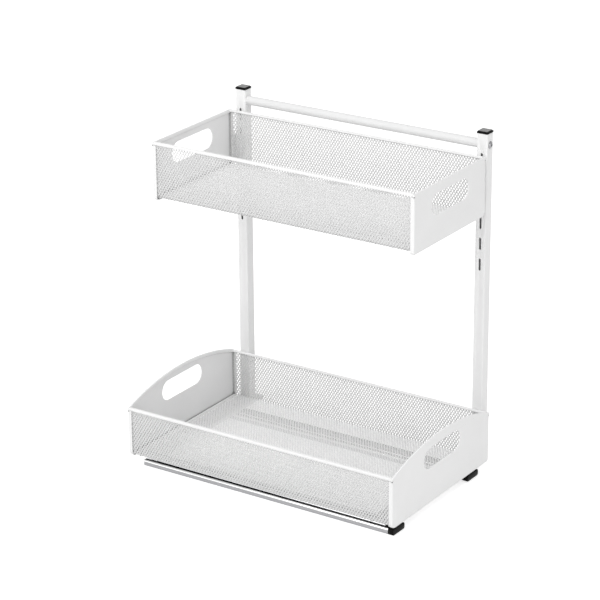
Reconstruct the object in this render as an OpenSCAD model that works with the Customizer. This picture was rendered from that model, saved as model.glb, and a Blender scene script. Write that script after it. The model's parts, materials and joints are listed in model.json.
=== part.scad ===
// Two-tier pull-out cabinet basket.
// A carriage runs on two ball-bearing slides that are screwed to the cabinet floor. It carries the
// lower mesh basket and two slotted square posts joined by a round crossbar. The upper basket
// hangs by hooks in the slots. The carriage is pulled out towards -X.
// X runs along the slides, +Y is the side of the posts, Z = 0 is the underside of the slides.

/* [Lower basket] */
// Outside length of the lower basket along the slides
lower_length = 400; // [360:1:460]
// Outside depth of the lower basket across the slides
lower_depth = 237; // [200:0.2:300]
// Height of the lower end panels at their front and rear corners
lower_end_height = 68.5; // [56:0.5:90]
// Rise of the arched top edge of the lower end panels above their corners
lower_arch_rise = 20.5; // [12:0.5:30]
// Height of the lower mesh walls above the bottom edge of the end panels
lower_wall_height = 68.5; // [50:0.5:80]
// Radius of the front bottom corner of the lower end panels
lower_front_radius = 8; // [3:0.5:10]
// Radius of the rear bottom corner of the lower end panels
lower_rear_radius = 3; // [2:0.5:8]
// Height of the lower mesh floor above the bottom edge of the end panels
lower_floor_height = 2.5; // [2:0.5:6]

/* [Upper basket] */
// Distance by which each end of the upper basket stands inside the lower basket's end
upper_inset = 8; // [4:0.5:9]
// Outside depth of the upper basket across the slides
upper_depth = 170; // [120:0.2:200]
// Height of the upper end panels
upper_height = 77.5; // [66:0.5:100]
// Height of the upper mesh walls above the bottom edge of the end panels
upper_wall_height = 77.5; // [60:0.5:96]
// Radius of the front bottom corner of the upper end panels
upper_front_radius = 4; // [2:0.5:8]
// Radius of the rear bottom corner of the upper end panels
upper_rear_radius = 5; // [2:0.5:8]
// Height of the upper mesh floor above the bottom edge of the end panels
upper_floor_height = 3; // [2:0.5:6]
// Post slot, counted from the bottom, that holds the lower pair of hooks
upper_slot = 4; // [1:1:5]
// Height of the bottom of the lower hooks' slot above the bottom edge of the upper end panels
hook_offset = 6; // [5:0.5:12]

/* [Sheet metal and mesh] */
// Thickness of the sheet steel end panels
sheet = 1.2; // [0.8:0.1:1.5]
// Width of the lips turned in along the front and rear edges of the end panels
side_lip = 6.5; // [5:0.5:9]
// Width of the lip turned in along the bottom edge of the end panels
bottom_lip = 8; // [6:0.5:9]
// Height of the folded hem along the top edge of the end panels
hem_height = 5; // [3:0.5:8]
// Thickness of the expanded mesh
mesh_thickness = 1.5; // [1:0.1:2]
// Pitch of the mesh openings along the slides
mesh_pitch_x = 20; // [18:1:40]
// Pitch of the mesh openings across the floor and up the walls
mesh_pitch_y = 25; // [24:1:50]
// Width of the mesh strands
mesh_strand = 3; // [2:0.2:5]
// Width of the plain border of a mesh sheet
mesh_border = 4; // [3:0.5:8]
// Width of the rolled rims along the mesh walls
rim_width = 4.6; // [4.2:0.1:7]
// Height of the front rims
front_rim_height = 4; // [3.6:0.1:9]
// Height of the rear rims
rear_rim_height = 4.4; // [4:0.1:9]
// Depth to which a mesh wall enters its rim
rim_grip = 1.8; // [1:0.1:2]

/* [Handle cut-outs] */
// Length of the handle cut-outs
handle_length = 89; // [70:1:110]
// Height of the handle cut-outs
handle_height = 27.5; // [22:0.5:32]
// Distance from the highest point of the panel down to the cut-out
handle_margin = 13.5; // [11:0.5:20]

/* [Posts] */
// Side of the square post tubes
post_size = 15; // [13:0.5:18]
// Wall of the post tubes
post_wall = 1.2; // [1:0.1:1.6]
// Length of the post tubes
post_length = 435; // [380:1:480]
// Distance from each end of the lower basket to the outer face of the post
post_inset = 11.5; // [10:0.5:16]
// Gap between the lower basket's rear rim and the front face of the posts
post_gap = 0.3; // [0.2:0.1:2]
// Width of the post slots
slot_width = 3; // [2.8:0.1:4]
// Length of the post slots
slot_length = 16; // [15:0.5:20]
// Distance between the centres of neighbouring slots
slot_pitch = 27.7; // [24:0.1:32]
// Distance from the top of the post tube down to the highest slot's centre
slot_drop = 33; // [28:0.5:60]
// Number of slots in each post
slot_count = 6; // [6:1:6]
// Side of the black caps on the posts
cap_size = 16; // [14:0.2:20]
// Height of the visible part of the caps
cap_height = 3; // [2:0.2:5]
// Length of the cap plug inside the tube
cap_plug = 5; // [3:0.5:6]

/* [Hooks] */
// Distance from the back of the upper basket to the front face of the posts
hook_reach = 9.5; // [7:0.5:14]
// Thickness of the hooks
hook_thickness = 2.4; // [1.6:0.1:2.5]
// Height of a hook's neck in the slot
hook_neck = 8.5; // [7:0.5:8.5]
// Length of the hook's tip below the bottom of the slot
hook_drop = 5; // [3:0.5:6]
// Width of the hook's tip behind the front wall of the post
hook_tip = 2.6; // [2:0.1:4]
// Reach of the hook brackets inboard of the slots
bracket_reach = 6; // [4:0.5:7]
// Thickness of the hook brackets
bracket_thickness = 1.5; // [1:0.1:2]
// Height of the hook brackets above and below the hooks' necks
bracket_margin = 2; // [1:0.5:4]

/* [Crossbar] */
// Outside diameter of the crossbar
crossbar_d = 12; // [10:0.5:14]
// Wall of the crossbar tube
crossbar_wall = 1.2; // [1:0.1:1.5]
// Distance from the top of the post tube down to the crossbar's centre
crossbar_drop = 15; // [13:0.5:15]
// Diameter of the crossbar bolts
crossbar_bolt_d = 5; // [4:0.5:6]
// Diameter of the crossbar bolt heads
crossbar_head_d = 10; // [9:0.5:12]
// Height of the crossbar bolt heads
crossbar_head_h = 2.6; // [2:0.1:4]
// Length of the threaded inserts in the crossbar ends
insert_length = 14; // [10:1:20]

/* [Slides] */
// Width of the slides
rail_width = 27; // [26:0.5:35]
// Height of the outer members
rail_height = 8.4; // [8.4:0.1:12]
// Radius of the outer members' bottom corners
rail_corner = 2.2; // [1.6:0.1:3]
// Wall of the outer and inner members
rail_wall = 1; // [0.8:0.1:1.2]
// Distance from the left end of the lower basket to the left end of the slides
rail_recess = 17; // [6:0.5:18]
// Distance from the right end of the lower basket to the right end of the outer members
rail_end_recess = 12; // [8:0.5:12]
// Distance from the front of the lower basket to the front slide
front_rail_inset = 9; // [6:0.5:30]
// Distance from the back of the lower basket to the rear slide
rear_rail_inset = 19; // [8:0.5:30]
// How far the inner members stand above the outer members
inner_rise = 2.6; // [0.6:0.1:3]
// Travel of the carriage
carriage_travel = 270; // [200:5:280]
// Radius of the bearing balls
ball_r = 2; // [1.8:0.05:2.2]
// Depth of the ball grooves in the members
groove_depth = 0.3; // [0.2:0.05:0.4]
// Balls in each row
ball_count = 7; // [5:1:9]
// Distance from each end of a ball cage to the end of its run
cage_margin = 2; // [1:0.5:6]
// Thickness of the ball cages
cage_thickness = 0.8; // [0.6:0.1:1]
// Thickness of the black end stops beyond the outer members
stop_thickness = 8; // [5:0.5:10]
// Length of the end stops' plugs inside the outer members
stop_plug = 6; // [4:0.5:8]
// Radius of the mounting holes in the outer members
mount_hole_r = 2.2; // [1.8:0.1:2.6]
// Distance between the mounting holes of one slide
mount_spacing = 320; // [260:5:330]

/* [Cross members] */
// Width of the cross members
cross_width = 28; // [24:0.5:30]
// Thickness of the cross members
cross_sheet = 1.5; // [1.2:0.1:2]
// Height of the cross members
cross_height = 4; // [3:0.5:4]
// Height of the spacer bushes between slides and cross members
bush_height = 3; // [3:0.5:8]
// Diameter of the spacer bushes
bush_d = 10; // [9:0.5:12]
// Diameter of the carriage screws
carriage_screw_d = 4; // [3:0.5:4.5]
// Diameter of the post foot bolts
foot_bolt_d = 5; // [4:0.5:6]
// Height of the plugs in the feet of the posts
foot_plug_height = 14; // [10:1:20]

/* [Clearances] */
// Running clearance of the balls
ball_play = 0.05; // [0.03:0.01:0.08]
// Clearance round screws, plugs and inserts
fit_gap = 0.1; // [0.05:0.01:0.15]
// Gap between pieces that meet without touching
seat_gap = 0.3; // [0.2:0.05:0.4]

/* [Hidden] */
$fn = 64;

// Finishes
painted = [0.95, 0.95, 0.94];
mesh_paint = [0.92, 0.92, 0.91];
zinc = [0.72, 0.73, 0.74];
chrome = [0.82, 0.83, 0.85];
black_plastic = [0.08, 0.08, 0.09];

// A cut passes this far beyond the faces that it opens
over = 1;

// Places across the slides
rim_proud = max(0, rim_width / 2 - mesh_thickness / 2 - sheet);
cap_proud = max(0, (cap_size - post_size) / 2);
overall_depth = 2 * rim_proud + lower_depth + post_gap + post_size + cap_proud;
y_front = -overall_depth / 2 + rim_proud;
y_lower_back = y_front + lower_depth;
y_post = y_lower_back + rim_proud + post_gap + post_size / 2;
y_post_face = y_post - post_size / 2;
y_upper_back = y_post_face - hook_reach;
y_upper_front = y_upper_back - upper_depth;
rail_ys = [y_front + front_rail_inset + rail_width / 2,
    y_lower_back - rear_rail_inset - rail_width / 2];

// Places along the slides
upper_length = lower_length - 2 * upper_inset;
x_rail = -lower_length / 2 + rail_recess;
x_rail_end = lower_length / 2 - rail_end_recess;
x_inner_end = x_rail_end - stop_plug - seat_gap;
x_post = lower_length / 2 - post_inset - post_size / 2;
post_xs = [-x_post, x_post];

// Heights
z_inner_top = rail_height + inner_rise;
z_cross_web = z_inner_top + bush_height;
z_cross_top = z_cross_web + cross_sheet;
z_lower = z_cross_top - lower_floor_height;
z_post_top = z_cross_top + post_length;
z_crossbar = z_post_top - crossbar_drop;
function slot_z(i) = z_post_top - slot_drop - (slot_count - 1 - i) * slot_pitch;
z_upper = slot_z(upper_slot - 1) - slot_length / 2 - hook_offset;

// The cross members lie under the posts, clear of the end panels' bottom lips
lip_room = post_inset - bottom_lip;
x_cross_outer = x_post + post_size / 2 + min(2, lip_room / 2);
x_cross = x_cross_outer - cross_width / 2;

// Slide sections
half_inside = rail_width / 2 - rail_wall;
ball_y = half_inside + groove_depth - ball_play - ball_r;
inner_half = ball_y - ball_r - ball_play + groove_depth;
ball_z = rail_height / 2;
lip_clear = 1.4;
inner_wall = rail_wall + 0.2;
cage_z = rail_wall + 0.4;
inner_bottom = cage_z + cage_thickness + 0.4;
cage_top = min(ball_z + ball_r + 1, rail_height - rail_wall - seat_gap);
inner_length = x_inner_end - x_rail;
cage_length = inner_length - carriage_travel - 2 * cage_margin;
x_cage = x_rail + cage_margin + carriage_travel / 2;
ball_pitch = (cage_length - 4 * ball_r) / (ball_count - 1);
pad_width = 2 * (inner_half + lip_clear - seat_gap);

// A rectangle with four round corners, centred across and standing on the X axis
module round_rect(w, h, r) {
    translate([-w / 2 + r, 0]) square([w - 2 * r, h]);
    translate([-w / 2, r]) square([w, h - 2 * r]);
    for (x = [-w / 2 + r, w / 2 - r], y = [r, h - r])
        translate([x, y]) circle(r);
}

// A slot with round ends, centred, along the first axis
module obround(length, width) {
    square([length - width, width], center = true);
    for (s = [-1, 1]) translate([s * (length - width) / 2, 0]) circle(width / 2);
}

// Turns a profile drawn in Y and Z into a bar along X
module along_x(x0, x1) {
    translate([x0, 0, 0]) rotate([90, 0, 90]) linear_extrude(x1 - x0) children();
}

// ---------- Ball-bearing slides ----------

// Section of the outer member, open at the top, with a ball groove in each side
module outer_section() {
    difference() {
        round_rect(rail_width, rail_height, rail_corner);
        translate([0, rail_wall])
            round_rect(2 * half_inside, rail_height - 2 * rail_wall, rail_corner - rail_wall);
        translate([-inner_half - lip_clear, rail_height / 2])
            square([2 * (inner_half + lip_clear), rail_height]);
        for (s = [-1, 1]) translate([s * ball_y, ball_z]) circle(ball_r + ball_play);
    }
}

// Section of the inner member, an upturned channel with a ball groove in each side
module inner_section() {
    height = z_inner_top - inner_bottom;
    translate([0, inner_bottom]) difference() {
        translate([0, -height]) round_rect(2 * inner_half, 2 * height, 1.6);
        translate([-inner_half - over, -height - over])
            square([2 * (inner_half + over), height + over]);
        translate([-inner_half + inner_wall, -over])
            square([2 * (inner_half - inner_wall), height - inner_wall + over]);
        for (s = [-1, 1])
            translate([s * ball_y, ball_z - inner_bottom]) circle(ball_r + ball_play);
    }
}

// Section of the ball cage, a flat trough that passes under the inner member
module cage_section() {
    side = ball_y + cage_thickness / 2;
    difference() {
        translate([-side, cage_z]) square([2 * side, cage_top - cage_z]);
        translate([-side + cage_thickness, cage_z + cage_thickness])
            square([2 * (side - cage_thickness), cage_top]);
    }
}

module outer_rail(y) {
    x_mid = (x_rail + x_rail_end) / 2;
    color(zinc) translate([0, y, 0]) difference() {
        along_x(x_rail, x_rail_end) outer_section();
        for (s = [-1, 1]) translate([x_mid + s * mount_spacing / 2, 0, -over])
            cylinder(r = mount_hole_r, h = rail_wall + 2 * over);
    }
}

// End block with a plug that fits the outer member and a pad that stops the inner member
module rail_stop(y) {
    color(black_plastic) translate([0, y, 0]) {
        along_x(x_rail_end - stop_plug, x_rail_end) translate([-pad_width / 2, rail_height / 2])
            square([pad_width, z_inner_top - rail_height / 2]);
        along_x(x_rail_end, x_rail_end + stop_thickness)
            round_rect(rail_width, rail_height, rail_corner);
        along_x(x_rail_end - stop_plug, x_rail_end)
            translate([0, rail_wall + fit_gap])
            round_rect(2 * (half_inside - fit_gap), rail_height - 2 * (rail_wall + fit_gap),
                rail_corner - rail_wall - fit_gap);
    }
}

module ball_cage(y) {
    color(zinc) translate([0, y, 0]) difference() {
        along_x(x_cage, x_cage + cage_length) cage_section();
        at_balls() rotate([90, 0, 0])
            cylinder(r = ball_r + ball_play, h = 4 * cage_thickness, center = true);
    }
}

module at_balls() {
    for (s = [-1, 1], i = [0 : ball_count - 1])
        translate([x_cage + 2 * ball_r + i * ball_pitch, s * ball_y, ball_z]) children();
}

module bearing_balls(y) {
    color(chrome) translate([0, y, 0]) at_balls() sphere(ball_r);
}

module inner_rail(y) {
    color(chrome) translate([0, y, 0]) difference() {
        along_x(x_rail, x_inner_end) inner_section();
        for (x = [-x_cross, x_cross]) translate([x, 0, z_inner_top - 2 * inner_wall])
            cylinder(d = carriage_screw_d + fit_gap, h = 3 * inner_wall);
    }
}

// ---------- Carriage ----------

// Calls its children at each place where a cross member meets a slide
module at_bushes() {
    for (x = [-x_cross, x_cross], y = rail_ys) translate([x, y, 0]) children();
}

// A shallow channel, open below, that carries the basket floor and the foot of one post
module cross_member(side) {
    x0 = side * x_cross - cross_width / 2;
    y0 = y_front + front_rail_inset;
    length = y_post + post_size / 2 - y0;
    color(painted) difference() {
        translate([x0, y0, z_cross_top - cross_height]) cube([cross_width, length, cross_height]);
        translate([x0 + cross_sheet, y0 - over, z_cross_top - cross_height - over])
            cube([cross_width - 2 * cross_sheet, length + 2 * over, cross_height - cross_sheet + over]);
        at_bushes() translate([0, 0, z_cross_web - over]) {
            cylinder(d = carriage_screw_d + 2 * fit_gap, h = cross_sheet + 2 * over);
            translate([0, 0, over]) screw_head(fit_gap);
        }
        translate([side * x_post, y_post, z_cross_web - over])
            cylinder(d = foot_bolt_d + 2 * fit_gap, h = cross_sheet + 2 * over);
    }
}

// Countersunk head, flush with the top of the cross member
module screw_head(gap) {
    cylinder(r1 = carriage_screw_d / 2 + gap, r2 = carriage_screw_d / 2 + cross_sheet + gap,
        h = cross_sheet);
}

module spacer_bushes() {
    color(zinc) at_bushes() translate([0, 0, z_inner_top]) difference() {
        cylinder(d = bush_d, h = bush_height);
        translate([0, 0, -over])
            cylinder(d = carriage_screw_d + 2 * fit_gap, h = bush_height + 2 * over);
    }
}

module carriage_screws() {
    tip = z_inner_top - inner_wall;
    color(chrome) at_bushes() {
        translate([0, 0, tip]) cylinder(d = carriage_screw_d, h = z_cross_top - tip);
        translate([0, 0, z_cross_web]) screw_head(0);
    }
}

// ---------- Posts and crossbar ----------

// Square tube with hook slots in its front face
module post(x) {
    inside = post_size - 2 * post_wall;
    color(painted) translate([x, y_post, 0]) difference() {
        translate([0, -post_size / 2, z_cross_top]) linear_extrude(post_length) difference() {
            round_rect(post_size, post_size, 1.5);
            translate([0, post_wall]) round_rect(inside, inside, 0.6);
        }
        for (i = [0 : slot_count - 1])
            translate([0, -post_size / 2 + post_wall / 2, slot_z(i)]) rotate([90, 90, 0])
            linear_extrude(2 * post_wall, center = true) obround(slot_length, slot_width);
        translate([0, 0, z_crossbar]) rotate([0, 90, 0])
            cylinder(d = crossbar_bolt_d + 2 * fit_gap, h = post_size + 2 * over, center = true);
    }
}

module post_cap(x) {
    plug = post_size - 2 * post_wall - 2 * fit_gap;
    rim = 1;
    color(black_plastic) translate([x, y_post, z_post_top]) {
        translate([0, -plug / 2, -cap_plug]) linear_extrude(cap_plug) round_rect(plug, plug, 0.8);
        translate([0, -cap_size / 2, 0]) linear_extrude(cap_height - rim)
            round_rect(cap_size, cap_size, 1.5);
        translate([0, -cap_size / 2 + rim, cap_height - rim]) linear_extrude(rim)
            round_rect(cap_size - 2 * rim, cap_size - 2 * rim, 1.2);
    }
}

module foot_plugs() {
    plug = post_size - 2 * post_wall - 2 * fit_gap;
    color(zinc) for (x = post_xs) translate([x, y_post, z_cross_top]) difference() {
        translate([0, -plug / 2, 0]) linear_extrude(foot_plug_height) round_rect(plug, plug, 0.8);
        translate([0, 0, -over]) cylinder(d = foot_bolt_d + fit_gap, h = foot_plug_height + 2 * over);
    }
}

module foot_bolts() {
    head_h = 2.5;
    color(zinc) for (x = post_xs) translate([x, y_post, 0]) {
        translate([0, 0, z_cross_web - head_h]) cylinder(d = 1.8 * foot_bolt_d, h = head_h);
        translate([0, 0, z_cross_web])
            cylinder(d = foot_bolt_d, h = cross_sheet + foot_plug_height - 2);
    }
}

x_bar_end = x_post - post_size / 2;
bar_bore = crossbar_d - 2 * crossbar_wall;

module crossbar() {
    color(painted) translate([0, y_post, z_crossbar]) rotate([0, 90, 0]) difference() {
        cylinder(d = crossbar_d, h = 2 * x_bar_end, center = true);
        cylinder(d = bar_bore, h = 2 * x_bar_end + 2 * over, center = true);
    }
}

module crossbar_inserts() {
    color(zinc) for (s = [-1, 1]) translate([s * (x_bar_end - insert_length / 2), y_post, z_crossbar])
        rotate([0, 90, 0]) difference() {
            cylinder(d = bar_bore - 2 * fit_gap, h = insert_length, center = true);
            cylinder(d = crossbar_bolt_d + fit_gap, h = insert_length + 2 * over, center = true);
        }
}

// Button-head bolts with a hexagon socket, screwed in from the outer faces of the posts
module crossbar_bolts() {
    socket_d = crossbar_bolt_d * 0.7;
    dome_r = (pow(crossbar_head_d / 2, 2) + pow(crossbar_head_h, 2)) / (2 * crossbar_head_h);
    color(chrome) for (s = [-1, 1]) translate([s * (x_post + post_size / 2), y_post, z_crossbar])
        rotate([0, s * 90, 0]) {
            translate([0, 0, -post_size - insert_length + 2])
                cylinder(d = crossbar_bolt_d, h = post_size + insert_length - 2);
            difference() {
                intersection() {
                    cylinder(d = crossbar_head_d, h = crossbar_head_h);
                    translate([0, 0, crossbar_head_h - dome_r]) sphere(dome_r);
                }
                translate([0, 0, crossbar_head_h / 2])
                    cylinder(d = socket_d, h = crossbar_head_h, $fn = 6);
            }
        }
}

// ---------- Basket pieces ----------

// Outline of an end panel, seen from its end: depth across, height up. Inset moves the front,
// bottom and rear edges in by that much, and the top edge stays where it is.
module end_outline(depth, corner, rise, front_r, rear_r, inset = 0, lowered = 0) {
    arch_r = rise > 0 ? (pow(depth / 2, 2) + pow(rise, 2)) / (2 * rise) : 0;
    top = corner + rise - lowered;
    fr = front_r - inset;
    rr = rear_r - inset;
    intersection() {
        union() {
            translate([inset, inset + fr]) square([fr, top]);
            translate([inset + fr, inset]) square([depth - 2 * inset - fr - rr, top + fr]);
            translate([depth - inset - rr, inset + rr]) square([rr, top]);
            translate([inset + fr, inset + fr]) circle(fr);
            translate([depth - inset - rr, inset + rr]) circle(rr);
        }
        if (rise > 0) translate([depth / 2, top - arch_r]) circle(arch_r, $fn = 240);
        else square([depth, top]);
    }
}

// One end panel with its outer face on X = 0 and its inside towards +X
module end_panel(depth, corner, rise, front_r, rear_r, wall_height) {
    handle_z = corner + rise - handle_margin - handle_height / 2;
    rotate([90, 0, 90]) {
        linear_extrude(sheet) difference() {
            end_outline(depth, corner, rise, front_r, rear_r);
            translate([depth / 2, handle_z]) obround(handle_length, handle_height);
        }
        // Folded hem along the top edge
        translate([0, 0, sheet]) linear_extrude(sheet) difference() {
            end_outline(depth, corner, rise, front_r, rear_r, sheet);
            end_outline(depth, corner, rise, front_r, rear_r, 0, hem_height);
        }
        // Front and rear lips, then the wider bottom lip
        linear_extrude(side_lip) difference() {
            lip_ring(depth, corner, rise, front_r, rear_r);
            for (rim = [[-over, front_rim_height], [depth / 2, rear_rim_height]])
                translate([rim[0], wall_height - rim[1] - seat_gap])
                square([depth / 2 + over, corner + rise]);
        }
        linear_extrude(bottom_lip) intersection() {
            lip_ring(depth, corner, rise, front_r, rear_r);
            translate([front_r, -over]) square([depth - front_r - rear_r, 2 * over + sheet]);
        }
    }
}

module lip_ring(depth, corner, rise, front_r, rear_r) {
    difference() {
        end_outline(depth, corner, rise, front_r, rear_r);
        end_outline(depth, corner + rise + over, 0, front_r, rear_r, sheet);
    }
}

// Puts an end panel at the left or right end of a basket
module place_end(side, length, y, z) {
    translate([side * length / 2, y, z]) mirror([side > 0 ? 1 : 0, 0, 0]) children();
}

// A sheet of expanded mesh from the origin, with as many whole diamonds as its border allows
module mesh_sheet(w, h) {
    a = mesh_pitch_x / 2;
    b = mesh_pitch_y / 2;
    reach = a * b / sqrt(a * a + b * b);
    k = 1 - mesh_strand / (2 * reach);
    columns = floor((w - 2 * mesh_border) / a) - 1;
    rows = floor((h - 2 * mesh_border) / b) - 1;
    linear_extrude(mesh_thickness) difference() {
        square([w, h]);
        for (i = [0 : columns - 1], j = [0 : rows - 1])
            if ((i + j) % 2 == 0)
                translate([w / 2 + (i - (columns - 1) / 2) * a, h / 2 + (j - (rows - 1) / 2) * b])
                polygon([[-k * a, 0], [0, -k * b], [k * a, 0], [0, k * b]]);
    }
}

// The floor sheet lies between the wall sheets
module mesh_floor(length, depth, y, z, rise) {
    w = length - 2 * sheet - 2 * fit_gap;
    h = depth - 2 * sheet - 2 * mesh_thickness;
    color(mesh_paint) translate([-w / 2, y + sheet + mesh_thickness, z + rise]) mesh_sheet(w, h);
}

// A wall sheet stands behind the lips at one side. Its bottom corners are notched round the lips.
module mesh_wall(length, y, z, rise, top, rim_height, corner_r) {
    w = length - 4 * sheet - 2 * fit_gap;
    h = top - rim_height + rim_grip - rise;
    color(mesh_paint) translate([-w / 2, y + mesh_thickness, z + rise]) rotate([90, 0, 0])
        difference() {
            mesh_sheet(w, h);
            if (corner_r > rise) for (x = [-over, w - side_lip])
                translate([x, -over, -over])
                cube([side_lip + over, corner_r - rise + over, mesh_thickness + 2 * over]);
        }
}

// Rolled rim that grips the top edge of a mesh wall
module rim(length, y, z, top, height) {
    w = length - 4 * sheet - 2 * fit_gap;
    r = rim_width / 2;
    gap = mesh_thickness + 2 * fit_gap;
    color(painted) translate([0, y + mesh_thickness / 2, z + top - height]) along_x(-w / 2, w / 2)
        difference() {
            intersection() {
                union() {
                    translate([0, height - r]) circle(r);
                    translate([-r, 0]) square([rim_width, height - r]);
                }
                translate([-r, 0]) square([rim_width, height]);
            }
            translate([-gap / 2, -over]) square([gap, rim_grip + over]);
        }
}

// ---------- Lower basket ----------

module lower_end_panel(side) {
    color(painted) place_end(side, lower_length, y_front, z_lower)
        end_panel(lower_depth, lower_end_height, lower_arch_rise, lower_front_radius,
            lower_rear_radius, lower_wall_height);
}

y_lower_front_mesh = y_front + sheet;
y_lower_rear_mesh = y_lower_back - sheet - mesh_thickness;

// ---------- Upper basket ----------

module upper_end_panel(side) {
    color(painted) place_end(side, upper_length, y_upper_front, z_upper)
        end_panel(upper_depth, upper_height, 0, upper_front_radius, upper_rear_radius,
            upper_wall_height);
}

y_upper_front_mesh = y_upper_front + sheet;
y_upper_rear_mesh = y_upper_back - sheet - mesh_thickness;

// A plate on the back of the end panel's rear lip, with two hooks that drop into the post slots
module hook_bracket(side) {
    x_in = x_post - bracket_reach;
    x_out = upper_length / 2 - sheet / 2;
    z_low = slot_z(upper_slot - 1) - slot_length / 2;
    inside = y_post_face + post_wall + seat_gap;
    // The neck's lower corners rest on the round bottom of the slot
    seat = (slot_width - sqrt(pow(slot_width, 2) - pow(hook_thickness, 2))) / 2 + fit_gap;
    color(painted) mirror([side > 0 ? 0 : 1, 0, 0]) {
        translate([x_in, y_upper_back, z_low - bracket_margin])
            cube([x_out - x_in, bracket_thickness, slot_pitch + hook_neck + 2 * bracket_margin]);
        for (z = [z_low, z_low + slot_pitch])
            translate([x_post - hook_thickness / 2, 0, z + seat]) {
                translate([0, y_upper_back, 0])
                    cube([hook_thickness, inside + hook_tip - y_upper_back, hook_neck]);
                translate([0, inside, -hook_drop])
                    cube([hook_thickness, hook_tip, hook_neck + hook_drop]);
            }
    }
}

outer_rail(rail_ys[0]);  // outer_rail_front
outer_rail(rail_ys[1]);  // outer_rail_rear
rail_stop(rail_ys[0]);  // rail_stop_front
rail_stop(rail_ys[1]);  // rail_stop_rear
ball_cage(rail_ys[0]);  // ball_cage_front
ball_cage(rail_ys[1]);  // ball_cage_rear
bearing_balls(rail_ys[0]);  // bearing_balls_front
bearing_balls(rail_ys[1]);  // bearing_balls_rear
inner_rail(rail_ys[0]);  // inner_rail_front
inner_rail(rail_ys[1]);  // inner_rail_rear
cross_member(-1);  // cross_member_left
cross_member(1);  // cross_member_right
spacer_bushes();
carriage_screws();
post(-x_post);  // post_left
post(x_post);  // post_right
post_cap(-x_post);  // post_cap_left
post_cap(x_post);  // post_cap_right
foot_plugs();
foot_bolts();
crossbar();
crossbar_inserts();
crossbar_bolts();
lower_end_panel(-1);  // lower_end_panel_left
lower_end_panel(1);  // lower_end_panel_right
mesh_floor(lower_length, lower_depth, y_front, z_lower, lower_floor_height);  // lower_mesh_floor
mesh_wall(lower_length, y_lower_front_mesh, z_lower, lower_floor_height, lower_wall_height,  // lower_mesh_front
        front_rim_height, lower_front_radius);
mesh_wall(lower_length, y_lower_rear_mesh, z_lower, lower_floor_height, lower_wall_height,  // lower_mesh_rear
        rear_rim_height, lower_rear_radius);
rim(lower_length, y_lower_front_mesh, z_lower, lower_wall_height, front_rim_height);  // lower_rim_front
rim(lower_length, y_lower_rear_mesh, z_lower, lower_wall_height, rear_rim_height);  // lower_rim_rear
upper_end_panel(-1);  // upper_end_panel_left
upper_end_panel(1);  // upper_end_panel_right
mesh_floor(upper_length, upper_depth, y_upper_front, z_upper, upper_floor_height);  // upper_mesh_floor
mesh_wall(upper_length, y_upper_front_mesh, z_upper, upper_floor_height, upper_wall_height,  // upper_mesh_front
        front_rim_height, upper_front_radius);
mesh_wall(upper_length, y_upper_rear_mesh, z_upper, upper_floor_height, upper_wall_height,  // upper_mesh_rear
        rear_rim_height, upper_rear_radius);
rim(upper_length, y_upper_front_mesh, z_upper, upper_wall_height, front_rim_height);  // upper_rim_front
rim(upper_length, y_upper_rear_mesh, z_upper, upper_wall_height, rear_rim_height);  // upper_rim_rear
hook_bracket(-1);  // hook_bracket_left
hook_bracket(1);  // hook_bracket_right
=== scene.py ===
"""Looks of the pull-out cabinet basket.

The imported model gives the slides, carriage, posts and brackets, which get their finishes here.
The baskets are made anew: floors and walls of expanded metal made by rule, end panels folded from
sheet, and rolled rims. X runs along the slides, +Y is the side of the posts, and Z = 0 is the
cabinet floor. Coordinates are in metres, and the named sizes below in millimetres.
"""

import json
import math

import bmesh
import bpy
from mathutils import Matrix, Vector
from mathutils.geometry import tessellate_polygon


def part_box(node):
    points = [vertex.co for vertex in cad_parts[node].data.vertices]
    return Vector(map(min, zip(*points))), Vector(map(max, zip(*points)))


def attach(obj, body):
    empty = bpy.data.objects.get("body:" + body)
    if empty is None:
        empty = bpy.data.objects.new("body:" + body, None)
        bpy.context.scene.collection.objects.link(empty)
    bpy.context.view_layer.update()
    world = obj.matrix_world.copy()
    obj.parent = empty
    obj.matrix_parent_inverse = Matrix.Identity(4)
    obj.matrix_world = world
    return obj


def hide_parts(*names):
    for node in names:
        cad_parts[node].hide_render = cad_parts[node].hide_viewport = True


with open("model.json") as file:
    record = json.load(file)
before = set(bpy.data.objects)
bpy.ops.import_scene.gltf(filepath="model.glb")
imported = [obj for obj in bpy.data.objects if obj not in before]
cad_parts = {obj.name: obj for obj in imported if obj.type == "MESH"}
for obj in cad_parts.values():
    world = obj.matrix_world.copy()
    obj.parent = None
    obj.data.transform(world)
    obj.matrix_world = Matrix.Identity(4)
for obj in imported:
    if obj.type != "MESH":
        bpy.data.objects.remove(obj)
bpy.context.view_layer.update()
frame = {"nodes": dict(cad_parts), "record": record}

MM = 0.001

# End panels: sheet, hem and handle as in the part's own source, lips a little narrower
SHEET = 1.2
SIDE_LIP = 5.5
BOTTOM_LIP = 6.2
LIP_TAPER = 2.0  # stretch of the lower edge over which a side lip widens to the bottom lip
LIP_TIP_SOFTNESS = 0.35
LIP_SEAT = 0.3  # from the top of a side lip to the rim above it
NOTCH = 0.6  # height of the notch above a side lip
CORNER_LEAD = 4.0  # from the front corner to the next row of faces above it
HEM_HEIGHT = 5.0
HEM_SOFTNESS = 0.3
FOLD_RADIUS = 1.7  # outer radius of the fold from panel to lip
HANDLE_LENGTH = 89.0
HANDLE_HEIGHT = 27.5
HANDLE_MARGIN = 13.5  # from the cut-out to the top of the panel
PANEL_ROUNDING = 0.3

# Rims
RIM_WIDTH = 4.6
FRONT_RIM_HEIGHT = 4.0
REAR_RIM_HEIGHT = 4.4
RIM_CROWN = 1.6  # outer radius above
RIM_CURL = 1.4  # outer radius below
RIM_INNER_CROWN = 0.9
RIM_FOLD = 2.4  # how far the fold reaches down inside
RIM_END_GAP = 0.1
RIM_ROUNDING = 0.35

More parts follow.
